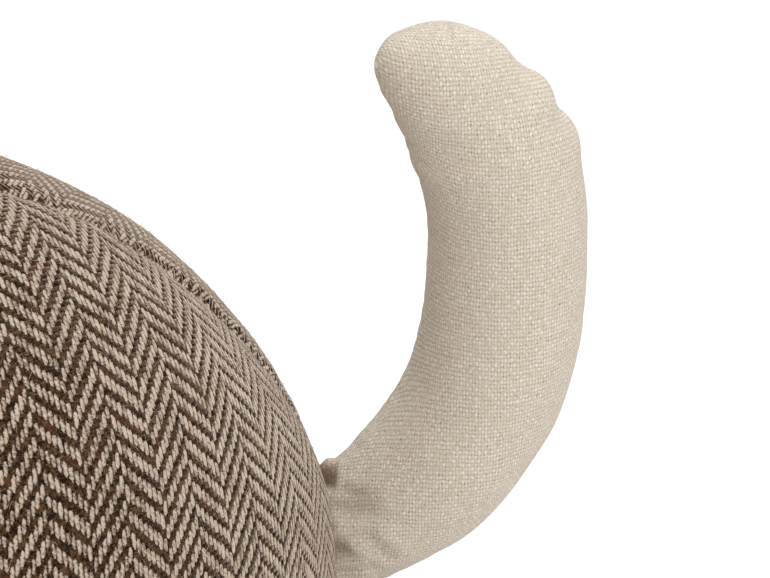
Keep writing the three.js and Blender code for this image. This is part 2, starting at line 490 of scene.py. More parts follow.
# The colour of the painted shade in the pinholes.
PINHOLE_SHADE_BROWN = linear(126, 103, 80)
# The colour of the painted shade near the tail's seat and deep in its gathers.
GATHER_SHADE_BROWN = linear(100, 76, 58)


def linen_finish():
    """Plain weave of slubby flax yarns, with painted shade in the pinholes at some of the
    crossings' corners.
    """
    cloth = new_finish("natural linen")
    place, warp, weft, gather_shade = threads_of(cloth)
    warp = warp + cloth.drift(place, 110.0, 1.2, 2.0) + cloth.drift(place, 1500.0, 0.95)
    weft = weft + cloth.drift(place, 130.0, 1.2, 2.0) + cloth.drift(place, 1350.0, 0.95)
    fibres = cloth.noise(place, FLAX_SCALE, 2.0, 0.6) - 0.5

    yarn = whole(warp)
    pick = whole(weft)
    across_yarn = warp - yarn
    across_pick = weft - pick
    yarn_slub = cloth.noise(cloth.at(yarn * 4.3, weft * 0.2), 1.0, 2.0) - 0.5
    pick_slub = cloth.noise(cloth.at(warp * 0.2, pick * 4.9, 7.0), 1.0, 2.0) - 0.5
    over = cosine((weft - 0.5 + yarn) * math.pi)
    under = cosine((warp - 0.5 + pick) * math.pi)
    yarn_height = flat_profile(across_yarn) * 0.75 + over * 0.5 + yarn_slub * 0.8
    pick_height = flat_profile(across_pick) * 0.75 - under * 0.5 + pick_slub * 0.8
    height = larger(yarn_height, pick_height) + fibres * 0.5

    # Painted shade in the pinholes, where the weave lies lowest at some of the crossings' corners.
    each_corner = cloth.chance(whole(warp + 0.5), whole(weft + 0.5))
    lowest = larger(round_profile(across_yarn), round_profile(across_pick))
    pinhole_shade = cloth.limited(lowest, 0.75, 0.2) * cloth.limited(each_corner, 0.3, 1.05)
    # Painted highlight on the middle of some crossings, and painted shade where the weave lies low
    # (the height term of the tone).
    each_crossing = cloth.chance(yarn, pick, 3.0)
    painted_crossing_highlight = cloth.limited(without_sign(over) * without_sign(under), 0.2, 0.95) * each_crossing
    painted_crossing_highlight = painted_crossing_highlight * cloth.limited(over, -0.3, 0.5, 0.3, 1.0)
    tone = height * 0.25 + painted_crossing_highlight * 0.6 + fibres * 0.7
    colour = cloth.mix(cloth.limited(tone, 0.0, 0.75), *LINEN_YARN)
    colour = cloth.mix(pinhole_shade * 0.8, colour, PINHOLE_SHADE_BROWN)
    # Painted shade near the tail's seat and deep in its gathers darkens the linen to brown.
    colour = cloth.mix(gather_shade * 0.9, colour, GATHER_SHADE_BROWN)
    return cloth.surface({
        "Base Color": colour, "Roughness": 0.88, "Normal": cloth.bump(0.8, LINEN_RELIEF, height),
        "Specular IOR Level": 0.15, "Sheen Weight": 0.08, "Sheen Roughness": 0.45,
    })


def bead_finish():
    bead = new_finish("polished dark bead")
    place = bead.place()
    colour = bead.mix(bead.noise(place, 400.0), linear(24, 18, 16), linear(40, 30, 26))
    dull = bead.limited(bead.noise(place, 900.0), 0.4, 0.8, 0.12, 0.2)
    return bead.surface({"Base Color": colour, "Roughness": dull, "Specular IOR Level": 0.3})


def nose_finish():
    felt = new_finish("brushed brown cloth")
    fibres = felt.noise(felt.place(), 1800.0, 3.0, 0.7)
    colour = felt.mix(fibres, linear(78, 58, 47), linear(108, 84, 69))
    return felt.surface({
        "Base Color": colour, "Roughness": 0.95, "Normal": felt.bump(0.6, 0.2 * MM, fibres),
        "Specular IOR Level": 0.1, "Sheen Weight": 0.2,
    })


def wool_finish():
    wool = new_finish("loose wool")
    shade = wool.limited(wool.noise(wool.place(), 700.0, 1.0), 0.3, 0.6)
    colour = wool.mix(shade, linear(92, 72, 56), linear(204, 187, 170))
    return wool.surface({"Base Color": colour, "Roughness": 0.9, "Specular IOR Level": 0.2})


tweed = tweed_finish()
wool = wool_finish()
linen = linen_finish()
bead = bead_finish()
nose_cloth = nose_finish()


# Body: two tweed panels that meet at the centre seam, and a base.

BODY_HALF_WIDTH = 86 * MM
BODY_RUMP_REACH = 90 * MM
BODY_FRONT_REACH = 102 * MM
BODY_BELT_HEIGHT = 53 * MM
BODY_RISE = 81 * MM
BODY_FULLNESS = 1.9
BODY_FOOT_SHARE = 0.76
BODY_AROUND = 112
BODY_FOOT_ROWS = 5
BODY_FLANK_ROWS = 12
BODY_BACK_ROWS = 33
SEAM_CROWDING = 0.45
SEAM_DEPTH = 0.2 * MM
SEAM_HALF_WIDTH = 5 * MM
SEAM_FADE_HEIGHT = 12 * MM
BODY_SWELL = 0.9 * MM


def body_rows():
    """Spread and height of each ring, from the middle of the foot to the top."""
    foot = [(BODY_FOOT_SHARE * row / BODY_FOOT_ROWS, 0.0) for row in range(BODY_FOOT_ROWS + 1)]
    flank = []
    for row in range(1, BODY_FLANK_ROWS + 1):
        angle = math.pi / 2 * row / BODY_FLANK_ROWS
        flank.append((BODY_FOOT_SHARE + (1 - BODY_FOOT_SHARE) * math.sin(angle),
                      BODY_BELT_HEIGHT * (1 - math.cos(angle))))
    back = []
    for row in range(1, BODY_BACK_ROWS + 1):
        angle = math.pi / 2 * (1 - row / BODY_BACK_ROWS)
        back.append((math.sin(angle) ** (2 / BODY_FULLNESS),
                     BODY_BELT_HEIGHT + BODY_RISE * math.cos(angle) ** (2 / BODY_FULLNESS)))
    return foot + flank + back


def body_points(rows):
    steps = np.arange(BODY_AROUND) / BODY_AROUND * FULL_TURN
    turns = steps - SEAM_CROWDING * np.sin(2 * steps) / 2
    points = [(0.0, 0.0, 0.0)]
    for spread, height in rows[1:-1]:
        for turn in turns:
            reach = BODY_RUMP_REACH if math.cos(turn) > 0 else BODY_FRONT_REACH
            points.append((reach * spread * math.cos(turn),
                           BODY_HALF_WIDTH * spread * math.sin(turn), height))
    points.append((0.0, 0.0, rows[-1][1]))
    return np.array(points)


def make_body():
    rows = body_rows()
    points = body_points(rows)
    body = new_piece("tweed_body", points, closed_grid(BODY_AROUND, len(rows) - 2),
                     tweed, "weighted_body")
    free = smooth_step(points[:, 2] / SEAM_FADE_HEIGHT)
    groove = bell(points[:, 1] / SEAM_HALF_WIDTH) * SEAM_DEPTH * free
    full = points - normals_of(body.data) * groove[:, None]
    move_points(body.data, full)
    on_seam = np.abs(points[:, 1]) < TOUCHING
    on_foot = points[:, 2] < TOUCHING
    fill_cover(body, full, on_seam | on_foot, free, BODY_SWELL)
    refine(body, 2)
    shape_body(body.data)
    write_grain(body.data, *tweed_grain(body.data))
    return body


SEAM_WANDER = 2.8 * MM
SEAM_WANDER_START = 50 * MM
SEAM_WANDER_END = 66 * MM
SEAM_WANDER_FOOT = 62 * MM
SEAM_WANDER_RISE = 25 * MM
SEAM_WANDER_REACH = 38 * MM


def seam_off_middle(points):
    """The centre seam isn't sewn dead straight: it bows to one side over the rump."""
    out = smooth_step((points[:, 0] - SEAM_WANDER_START) / (SEAM_WANDER_END - SEAM_WANDER_START))
    up = smooth_step((points[:, 2] - SEAM_WANDER_FOOT) / SEAM_WANDER_RISE)
    return SEAM_WANDER * out * up


SIDES_APART = 30 * MM
PLEAT_SIZE = 3.2 * MM
PLEAT_STRETCH = 0.35
PLEAT_REACH = 5.5 * MM
PLEAT_HEIGHT = 0.35 * MM
STITCH_HALF_WIDTH = 0.9 * MM
STITCH_DEPTH = 0.18 * MM
KNOT_SIZE = 1.6 * MM
KNOT_HEIGHT = 0.35 * MM
BODY_LUMPS = [(30, 0.0, 0.7), (12, 3.0, 0.22)]
RUMP_BULGE = np.array((88, -8, 68)) * MM
RUMP_BULGE_REACH = 15 * MM
RUMP_BULGE_HEIGHT = 1.0 * MM
BASE_SEAM_HEIGHT = 1.5 * MM
BASE_SEAM_HALF_WIDTH = 1.2 * MM
BASE_SEAM_DEPTH = 0.5 * MM


def shape_body(mesh):
    """Lumps of the filling, puckers along the centre seam, and the sewn edge of the base."""
    points = points_of(mesh)
    outwards = normals_of(mesh)
    above = smooth_step(points[:, 2] / SEAM_FADE_HEIGHT)
    from_seam = np.abs(points[:, 1])
    side = np.sign(points[:, 1])
    along = np.arctan2(points[:, 2] - BODY_BELT_HEIGHT, points[:, 0]) * BODY_RUMP_REACH
    on_line = np.stack([along, side * SIDES_APART, from_seam * PLEAT_STRETCH], 1)
    pleats = roughly(on_line, PLEAT_SIZE) * bell(from_seam / PLEAT_REACH) * PLEAT_HEIGHT
    stitches = -bell(from_seam / STITCH_HALF_WIDTH) * STITCH_DEPTH
    on_stitches = np.stack([along, side, side], 1)
    knots = roughly(on_stitches, KNOT_SIZE, 5.0) * bell(from_seam / KNOT_SIZE) * KNOT_HEIGHT
    from_bulge = np.linalg.norm(points - RUMP_BULGE, axis=1)
    bulge = bell(from_bulge / RUMP_BULGE_REACH) * RUMP_BULGE_HEIGHT
    off_base = points[:, 2] > TOUCHING / 2
    base_seam = bell((points[:, 2] - BASE_SEAM_HEIGHT) / BASE_SEAM_HALF_WIDTH) * off_base
    out = (pleats + stitches + knots + lumps_of(points, BODY_LUMPS)) * above + bulge
    points = points + outwards * (out - base_seam * BASE_SEAM_DEPTH)[:, None]
    points[:, 2] = np.maximum(points[:, 2], 0)
    shift = np.zeros(points.shape)
    shift[:, 1] = seam_off_middle(points) * bell(points[:, 1] / SEAM_WANDER_REACH)
    points += shift - outwards * (shift * outwards).sum(1)[:, None]
    move_points(mesh, points)


# The cut of the panels, in mm: its middle along and up, and how far it spans along, across,
# above the belt and below it.
GRAIN_MIDDLE = (-40.8, -15.8)
GRAIN_SPANS = (90, 86, 81, 95)
GRAIN_TURN = 0.079
GRAIN_PICKS = 149.6
GRAIN_FAN = 0.88
YARNS_PER_PICK = 0.9143
FIRST_YARN = 7.6
FIRST_PICK = 0.6
FAR_PANEL_YARNS = 5.0
FAR_PANEL_PICKS = 1.7
BASE_THICKNESS = 0.4 * MM
BASE_PITCH = 1.05 * MM
KNOTTY_HALF_WIDTH = 1.7 * MM


def tweed_grain(mesh):
    """Each panel is cut flat and bends over the body, so its threads fan out a little."""
    points = points_of(mesh)[corner_points(mesh)]
    middles = corner_middles(mesh)
    x, y, z = (points / MM).T
    side = np.where(middles[:, 1] < seam_off_middle(middles), -1.0, 1.0)
    long_span, wide_span, high_span, low_span = GRAIN_SPANS
    belt = BODY_BELT_HEIGHT / MM
    across = (x - GRAIN_MIDDLE[0]) / long_span
    out = -np.abs(y) * np.where(np.sign(y) == side, 1, -1) / wide_span
    up = (belt - GRAIN_MIDDLE[1]) / high_span + (z - belt) / np.where(z > belt, high_span, low_span)
    length = np.sqrt(across ** 2 + out ** 2 + up ** 2)
    bend = np.arccos(np.clip(-out / length, -1, 1))
    spread = bend / np.maximum(np.sin(bend), 1e-6)
    p = across / length * spread
    q = up / length * spread ** GRAIN_FAN
    turned_p = (math.cos(GRAIN_TURN) * p + math.sin(GRAIN_TURN) * q) * GRAIN_PICKS
    turned_q = (-math.sin(GRAIN_TURN) * p + math.cos(GRAIN_TURN) * q) * GRAIN_PICKS
    warp = turned_p * YARNS_PER_PICK + FIRST_YARN + (side > 0) * FAR_PANEL_YARNS
    weft = turned_q + FIRST_PICK + (side > 0) * FAR_PANEL_PICKS
    in_base = middles[:, 2] < BASE_THICKNESS
    warp = np.where(in_base, points[:, 0] / BASE_PITCH, warp)
    weft = np.where(in_base, points[:, 1] / BASE_PITCH, weft)
    from_seam = np.abs(points[:, 1] - seam_off_middle(points))
    beside_seam = bell(from_seam / KNOTTY_HALF_WIDTH) * (points[:, 2] > SEAM_FADE_HEIGHT)
    return warp, weft, beside_seam


FIBRES = 6500
FIBRE_SEED = 11
FIBRE_STEPS = 3
FIBRE_SIDES = 3
FIBRE_HALF_THICKNESS = 0.04 * MM
FIBRE_TAPER = 0.6
FIBRE_SHORTEST = 0.7 * MM
FIBRE_LONGEST = 2.6 * MM
FIBRE_LIFT = 0.7 * MM
FIBRE_BEND = 0.35
FIBRES_ABOVE = 3 * MM


def make_fibres(mesh):
    """Short wool fibres that stand off the tweed: thin three-sided tubes, each bent once."""
    dice = np.random.default_rng(FIBRE_SEED)
    mesh.calc_loop_triangles()
    triangles = read(mesh.loop_triangles, "vertices", 3, int)
    corners = points_of(mesh)[triangles]
    outwards = normals_of(mesh)[triangles[:, 0]]
    area = np.linalg.norm(np.cross(corners[:, 1] - corners[:, 0],
                                   corners[:, 2] - corners[:, 0]), axis=1)
    likely = area * (corners[:, 0, 2] > FIBRES_ABOVE)
    chosen = dice.choice(len(triangles), FIBRES, p=likely / likely.sum())
    root = corners[chosen].mean(1)
    normal = outwards[chosen]
    heading = np.cross(normal, dice.normal(size=(FIBRES, 3)))
    heading /= np.linalg.norm(heading, axis=1)[:, None]
    across = np.cross(normal, heading)
    bend = across * dice.normal(0, FIBRE_BEND, (FIBRES, 1))
    length = FIBRE_SHORTEST + (FIBRE_LONGEST - FIBRE_SHORTEST) * dice.random((FIBRES, 1)) ** 2
    lift = FIBRE_LIFT * dice.random((FIBRES, 1)) ** 1.5
    end_lift = lift * dice.uniform(-0.6, 1.8, (FIBRES, 1))
    points = []
    for step in range(FIBRE_STEPS + 1):
        t = step / FIBRE_STEPS
        height = 4 * t * (1 - t) * lift + t * t * end_lift
        middle = root + (heading * t + bend * t * t) * length + normal * height
        thick = FIBRE_HALF_THICKNESS * (1 - FIBRE_TAPER * t)
        for side in range(FIBRE_SIDES):
            turn = FULL_TURN * side / FIBRE_SIDES
            points.append(middle + (across * math.cos(turn) + normal * math.sin(turn)) * thick)
    points = np.stack(points, 1)
    tube = []
    for near in range(0, FIBRE_STEPS * FIBRE_SIDES, FIBRE_SIDES):
        far = near + FIBRE_SIDES
        for side in range(FIBRE_SIDES):
            following = (side + 1) % FIBRE_SIDES
            tube.append((near + side, near + following, far + following, far + side))
    first_point = np.arange(FIBRES) * points.shape[1]
    faces = (np.array(tube)[None] + first_point[:, None, None]).reshape(-1, 4)
    fibres = add_mesh("wool_fibres", points.reshape(-1, 3), faces.tolist(), wool)
    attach(fibres, "root")


body = make_body()
make_fibres(body.data)


# Tail: a stuffed linen tube of two crescent halves, gathered where it is sewn on.

TAIL_SEAT = np.array((89.93, 0, 55.6)) * MM
TAIL_SUNK_START = 3 * MM
# Two curves from the seat to the tip, in mm: each one's ends and the points it heads for.
TAIL_ROUTE = np.array([
    [(0, 0), (20, 6), (32.4, 22), (32.2, 55)],
    [(32.2, 55), (32.4, 74), (24, 89.5), (8.8, 91.4)],
])
TAIL_ROUTE_STEPS = 400
TAIL_SEAT_RADIUS = 11.2 * MM
TAIL_FULL_RADIUS = 14.4 * MM
TAIL_NECK_RADIUS = 11.8 * MM
TAIL_SWELL_LENGTH = 30 * MM
TAIL_CAP_LENGTH = 17 * MM
TAIL_TAPER_LENGTH = 12 * MM
TAIL_TIP_ROUNDNESS = 0.62
TAIL_FLATNESS = 0.96
TAIL_AROUND = 44
TAIL_ROWS = 110
TIP_CROWDING = 0.35
TAIL_SEAM_STEP = 13
TAIL_SEAM_TURN = FULL_TURN * TAIL_SEAM_STEP / TAIL_AROUND
TAIL_SEWN_LENGTH = 1.5 * MM
TAIL_FREE_LENGTH = 6 * MM
TAIL_SWELL = 0.35 * MM


def tail_route():
    """Points and headings along the middle of the tail, and how far along each lies."""
    line = []
    t = np.linspace(0, 1, TAIL_ROUTE_STEPS)[:, None]
    for start, near, far, end in TAIL_ROUTE:
        line.append(((1 - t) ** 3 * start + 3 * (1 - t) ** 2 * t * near
                     + 3 * (1 - t) * t ** 2 * far + t ** 3 * end) * MM)
    flat = np.concatenate([line[0], line[1][1:]])
    first = (flat[1] - flat[0]) / np.linalg.norm(flat[1] - flat[0])
    flat = np.concatenate([[flat[0] - first * TAIL_SUNK_START], flat])
    route = np.stack([TAIL_SEAT[0] + flat[:, 0], np.zeros(len(flat)),
                      TAIL_SEAT[2] + flat[:, 1]], 1)
    steps = np.linalg.norm(np.diff(route, axis=0), axis=1)
    along = np.concatenate([[0], np.cumsum(steps)]) - TAIL_SUNK_START
    heading = np.gradient(route, along, axis=0)
    heading /= np.linalg.norm(heading, axis=1)[:, None]
    return route, heading, along


ROUTE, HEADING, ALONG = tail_route()
TAIL_LENGTH = ALONG[-1]


def on_route(along):
    """The route's point and its outward direction at a distance from the seat."""
    place = np.stack([np.interp(along, ALONG, ROUTE[:, k]) for k in range(3)], -1)
    ahead = np.stack([np.interp(along, ALONG, HEADING[:, k]) for k in range(3)], -1)
    ahead /= np.linalg.norm(ahead, axis=-1)[..., None]
    outward = np.stack([ahead[..., 2], np.zeros(ahead.shape[:-1]), -ahead[..., 0]], -1)
    return place, outward


def tail_radius(along):
    swell = smooth_step(along / TAIL_SWELL_LENGTH)
    past_neck = along - (TAIL_LENGTH - TAIL_CAP_LENGTH)
    taper = smooth_step(1 + past_neck / TAIL_TAPER_LENGTH)
    radius = TAIL_SEAT_RADIUS + (TAIL_FULL_RADIUS - TAIL_SEAT_RADIUS) * swell
    radius = radius + (TAIL_NECK_RADIUS - radius) * taper
    cap = np.clip(past_neck / TAIL_CAP_LENGTH, 0, 1)
    return radius * (1 - cap ** 2) ** TAIL_TIP_ROUNDNESS


def make_tail():
    share = np.arange(TAIL_ROWS + 1) / TAIL_ROWS
    share = 1 - (1 - share) * (1 - TIP_CROWDING * share * share)
    along = -TAIL_SUNK_START + (TAIL_LENGTH + TAIL_SUNK_START) * share
    turns = np.arange(TAIL_AROUND) / TAIL_AROUND * FULL_TURN
    place, outward = on_route(along)
    front = np.array((0, -1, 0))
    radius = tail_radius(along)
    points = [place[0]]
    where = [(along[0], 1, 0)]
    for row in range(1, TAIL_ROWS):
        for turn in turns:
            points.append(place[row] + radius[row] * (
                math.sin(turn) * outward[row] + TAIL_FLATNESS * math.cos(turn) * front))
            where.append((along[row], math.cos(turn), math.sin(turn)))
    points.append(place[-1])
    where.append((along[-1], 1, 0))
    points = np.array(points)
    tail = new_piece("linen_tail", points, closed_grid(TAIL_AROUND, TAIL_ROWS - 1),
                     linen, "tail")
    layer = tail.data.attributes.new("where", "FLOAT_VECTOR", "POINT")
    layer.data.foreach_set("vector", np.array(where, np.float32).ravel())
    from_seat, front_share, out_share = np.array(where).T
    turn = np.arctan2(out_share, front_share)
    on_seam = np.abs(np.abs(turn) - TAIL_SEAM_TURN) < 0.01
    at_seat = from_seat < TAIL_SEWN_LENGTH
    free = smooth_step(from_seat / TAIL_FREE_LENGTH)
    fill_cover(tail, points, on_seam | at_seat, free, TAIL_SWELL)
    refine(tail, 2)
    shape_tail(tail.data)
    write_grain(tail.data, *tail_grain(tail.data))
    tail.data.attributes.remove(tail.data.attributes["where"])


# Puckers beside the two seams, in mm: distance from the seat, height and half length.
OUTER_PUCKERS = [(113.6, -0.5, 2.2), (107, 0.7, 5), (100.8, 0.6, 2.6), (93.6, 1.1, 2.6),
                 (89.6, -0.7, 1.8), (85.6, 1.1, 3.2), (28, -1.65, 9), (13.4, -0.68, 3.8)]
INNER_PUCKERS = [(115, 1.0, 2.2), (107, 0.2, 4), (97.6, 0.9, 3.4), (92.4, 0.62, 2.7),
                 (88, -0.2, 2.2), (16, 0.7, 7)]
PUCKER_TURN = 1.6
PUCKER_TURN_REACH = 0.7
# Folds at the seat and a crease below the tip, in mm: middle, direction, half length, half
# width and height.
FOLDS = [
    ((90.8, 0.9, 67.5), (0, 1, 0), 2.3, 2.3, 2.0),
    ((90.6, -1.9, 67.3), (0.38, 0.88, 0.34), 4.5, 1.0, -1.4),
    ((88.9, -2.4, 67.0), (1, 0, -0.2), 1.6, 1.0, -1.3),
    ((93.0, -6.8, 66.9), (0.88, -0.45, -0.1), 3.2, 0.8, -0.7),
    ((92.2, -7.4, 65.6), (0.88, -0.45, -0.1), 2.6, 0.8, 0.5),
    ((93.7, -9.2, 64.1), (0.85, -0.47, -0.24), 4.0, 2.2, -1.4),
    ((90.0, -9.3, 61.5), (1, 0, 0), 2.2, 2.0, 0.8),
    ((90.2, -10.7, 56.3), (1, 0, -0.4), 2.6, 1.4, -1.7),
    ((97.8, -11, 56.4), (0.71, 0.16, -0.69), 5.0, 1.8, -0.5),
    ((99.2, -11, 58.6), (0.71, 0.16, -0.69), 5.0, 2.0, 0.3),
    ((93.5, -10, 52.2), (1, 0, 0.1), 4.0, 0.9, -0.8),
    ((111.5, -1.7, 152.8), (0.05, 1, 0.15), 4.0, 0.45, -0.95),
]
TIP_SWELL = 0.6 * MM
TIP_END = 1 * MM
TIP_LENGTH = 5 * MM
TAIL_STITCH_TURN = 0.07
TAIL_STITCH_DEPTH = 0.25 * MM
TAIL_PLEAT_SIZE = 3.0 * MM
TAIL_PLEAT_SPREAD = 0.4 * MM
TAIL_PLEAT_TURN = 0.35
TAIL_PLEAT_HEIGHT = 0.14 * MM
GATHER_LENGTH = 11 * MM
GATHER_FOLDS = 3.0
GATHER_FOLD_LENGTH = 22 * MM
GATHER_HEIGHT = 0.9 * MM
SEAT_LUMPS = [(3.2, 9.0, 0.42)]
TAIL_LUMPS = [(20, 1.0, 0.5), (8, 6.0, 0.12)]


def where_on_tail(mesh):
    """How far from the seat and how far round the tail each point lies."""
    along, front, out = read(mesh.attributes["where"].data, "vector").T
    return along, np.arctan2(out, front)


def turn_from(turn, seam_turn):
    apart = np.abs(turn - seam_turn)
    return np.minimum(apart, FULL_TURN - apart)


def shape_tail(mesh):
    """Gathers at the seat, puckers along the two seams and the lumps of the filling."""
    points = points_of(mesh)
    along, turn = where_on_tail(mesh)
    from_outer = turn_from(turn, TAIL_SEAM_TURN)
    from_inner = turn_from(turn, -TAIL_SEAM_TURN)

    def beside_seams(reach):
        return bell(from_outer / reach) + bell(from_inner / reach)

    out = np.zeros(len(points))
    for puckers, middle in ((OUTER_PUCKERS, PUCKER_TURN), (INNER_PUCKERS, -PUCKER_TURN)):
        beside = bell((turn - middle) / PUCKER_TURN_REACH)
        for place, height, half in puckers:
            out += bell((along - place * MM) / (half * MM)) * beside * height * MM
    for middle, way, half_length, half_width, height in FOLDS:
        way = np.array(way) / np.linalg.norm(way)
        away = points - np.array(middle) * MM
        lengthwise = away @ way
        sideways = np.linalg.norm(away - lengthwise[:, None] * way, axis=1)
        out += (bell(lengthwise / (half_length * MM)) * bell(sideways / (half_width * MM))
                * height * MM)
    before_tip = smooth_step((TAIL_LENGTH - TIP_END - along) / TIP_LENGTH)
    out = out * before_tip + (1 - before_tip) * TIP_SWELL
    out -= beside_seams(TAIL_STITCH_TURN) * before_tip * TAIL_STITCH_DEPTH
    on_line = np.stack([along, turn * TAIL_PLEAT_SPREAD, np.zeros(len(along))], 1)
    pleats = roughly(on_line, TAIL_PLEAT_SIZE) * beside_seams(TAIL_PLEAT_TURN)
    out += pleats * before_tip * TAIL_PLEAT_HEIGHT
    near_seat = bell(np.maximum(along, 0) / GATHER_LENGTH)
    fold_place = np.stack([np.cos(turn) * GATHER_FOLDS, np.sin(turn) * GATHER_FOLDS,
                           along / GATHER_FOLD_LENGTH], 1)
    out += roughly(fold_place, 1.0, 2.0) * near_seat * GATHER_HEIGHT
    out += lumps_of(points, SEAT_LUMPS) * near_seat + lumps_of(points, TAIL_LUMPS)
    push_out(mesh, out)


# Shade deep in the gathers, in mm: middle, reach and depth of shade.
GATHER_SHADES = [
    ((89.5, -0.8, 67.4), 2.5, 1.0),
    ((89.2, -10.5, 56.4), 2.0, 0.6),
    ((92.8, -8.4, 64.8), 4.2, 0.28),
]
SEAT_SHADE = 0.33
SEAT_SHADE_LENGTH = 6 * MM
LINEN_WARP_PITCH = 0.57 * MM
LINEN_WEFT_PITCH = 0.80 * MM
BACK_HALF_YARNS = 40.3
BACK_HALF_PICKS = 17.4


def tail_grain(mesh):
    """Both halves are cut flat from straight cloth."""
    corners = corner_points(mesh)
    points = points_of(mesh)[corners]
    along, turn = where_on_tail(mesh)
    along = along[corners]
    turn = turn[corners]
    at_back = np.abs(turn) > TAIL_SEAM_TURN + 0.001
    past_seam = np.sign(turn) * (2 * TAIL_SEAM_TURN) - turn
    turn = np.where(at_back, past_seam, turn)
    place, outward = on_route(along)
    flat = place + outward * (tail_radius(along) * turn)[:, None]
    warp = flat[:, 0] / LINEN_WARP_PITCH + at_back * BACK_HALF_YARNS
    weft = flat[:, 2] / LINEN_WEFT_PITCH + at_back * BACK_HALF_PICKS
    # Painted shade: darker near the seat and deep in the gathers, carried to the linen's colour.
    gather_shade = bell(np.maximum(along, 0) / SEAT_SHADE_LENGTH) * SEAT_SHADE
    for middle, reach, depth in GATHER_SHADES:
        away = np.linalg.norm(points - np.array(middle) * MM, axis=1)
        gather_shade += bell(away / (reach * MM)) * depth
    return warp, weft, np.minimum(gather_shade, 1)


make_tail()


# Head, ears, eyes and nose.

HEAD_CENTRE = np.array((-90, 0, 119)) * MM
HEAD_HALF_SIZES = np.array((36, 44, 37)) * MM
MUZZLE_LENGTH = 5.5 * MM
MUZZLE_SPREAD = 0.5
MUZZLE_DROP = 0.3
HEAD_AROUND = 48
HEAD_ROWS = 32
HEAD_SWELL = 0.8 * MM
HEAD_STITCH_DEPTH = 0.4 * MM
HEAD_PLEAT_SIZE = 4 * MM
HEAD_PLEAT_HEIGHT = 0.2 * MM
HEAD_LUMPS = [(20, 0.0, 0.4)]
HEAD_PITCH = 0.62 * MM
HEAD_PANEL_RADIUS = 38 * MM


def head_surface(direction):
    forward = np.maximum(-direction[:, 0], 0)
    off = (direction[:, 1] ** 2 + (direction[:, 2] + MUZZLE_DROP) ** 2) / MUZZLE_SPREAD ** 2
    sizes = np.tile(HEAD_HALF_SIZES, (len(direction), 1))
    sizes[:, 0] += MUZZLE_LENGTH * forward * np.exp(-off)
    return HEAD_CENTRE + direction * sizes


def sphere_directions(around, rows):
    """Directions on rings about the Y axis, so that the poles lie at both sides."""
    directions = [(0, -1, 0)]
    for row in range(1, rows):
        lean = math.pi * row / rows
        for step in range(around):
            turn = FULL_TURN * step / around
            directions.append((math.sin(lean) * math.sin(turn), -math.cos(lean),
                               math.sin(lean) * math.cos(turn)))
    directions.append((0, 1, 0))
    return np.array(directions, float)


def make_head():
    points = head_surface(sphere_directions(HEAD_AROUND, HEAD_ROWS))
    head = new_piece("linen_head", points, closed_grid(HEAD_AROUND, HEAD_ROWS - 1),
                     linen, "head")
    on_seam = np.abs(points[:, 1]) < TOUCHING
    fill_cover(head, points, on_seam, np.ones(len(points)), HEAD_SWELL)
    refine(head, 2)
    points = points_of(head.data)
    from_seam = np.abs(points[:, 1])
    out = -bell(from_seam / STITCH_HALF_WIDTH) * HEAD_STITCH_DEPTH
    pleats = roughly(points, HEAD_PLEAT_SIZE) * bell(from_seam / HEAD_PLEAT_SIZE)
    out += pleats * HEAD_PLEAT_HEIGHT + lumps_of(points, HEAD_LUMPS)
    push_out(head.data, out)
    write_grain(head.data, *head_grain(head.data))


def head_grain(mesh):
    """Each half of the head is cut flat, with its middle at the side."""
    side = np.where(corner_middles(mesh)[:, 1] < 0, -1.0, 1.0)
    way = (points_of(mesh)[corner_points(mesh)] - HEAD_CENTRE) / HEAD_HALF_SIZES
    way /= np.linalg.norm(way, axis=1)[:, None]
    bend = np.arccos(np.clip(way[:, 1] * side, -1, 1))
    spread = bend / np.maximum(np.sin(bend), 1e-6) * HEAD_PANEL_RADIUS
    return way[:, 0] * spread / HEAD_PITCH, way[:, 2] * spread / HEAD_PITCH


make_head()

EAR_HEIGHT = 33 * MM
EAR_HALF_WIDTH = 16 * MM
EAR_HALF_THICKNESS = 5 * MM
EAR_SUNK_DEPTH = 8 * MM
EAR_SIDE_ANGLE = math.radians(33)
EAR_TIP_ROUNDNESS = 0.62
EAR_ROOT_ROWS = 2
EAR_AROUND = 32
EAR_ROWS = 22
EAR_SWELL = 0.6 * MM
EAR_LUMPS = [(5, 0.0, 0.25)]


def make_ear(name, node, side):
    """A flat stuffed triangle that leans out from the top of the head."""
    lean = np.array((0, side * math.sin(EAR_SIDE_ANGLE), math.cos(EAR_SIDE_ANGLE)))
    across = np.array((0, math.cos(EAR_SIDE_ANGLE) * side, -math.sin(EAR_SIDE_ANGLE)))
    front = np.array((-1, 0, 0)) * side
    seat = head_surface(lean[None])[0]
    points = [seat - lean * EAR_SUNK_DEPTH]
    for row in range(1, EAR_ROWS):
        climbed = (EAR_HEIGHT + EAR_SUNK_DEPTH) * row / EAR_ROWS
        narrow = (1 - row / EAR_ROWS) ** EAR_TIP_ROUNDNESS
        narrow *= min(1.0, math.sqrt(row / EAR_ROOT_ROWS))
        for step in range(EAR_AROUND):
            turn = FULL_TURN * step / EAR_AROUND
            points.append(seat + lean * (climbed - EAR_SUNK_DEPTH)
                          + across * math.cos(turn) * EAR_HALF_WIDTH * narrow
                          + front * math.sin(turn) * EAR_HALF_THICKNESS * narrow)
    points.append(seat + lean * EAR_HEIGHT)
    points = np.array(points)
    ear = new_piece(name, points, closed_grid(EAR_AROUND, EAR_ROWS - 1), linen, node)
    on_edge = np.abs(points[:, 0] - seat[0]) < TOUCHING
    low = (points - seat) @ lean < 0
    fill_cover(ear, points, on_edge | low, np.where(low, 0.0, 1.0), EAR_SWELL)
    refine(ear, 2)
    push_out(ear.data, lumps_of(points_of(ear.data), EAR_LUMPS))
    from_seat = points_of(ear.data)[corner_points(ear.data)] - seat
    write_grain(ear.data, from_seat @ across / HEAD_PITCH, from_seat @ lean / HEAD_PITCH)


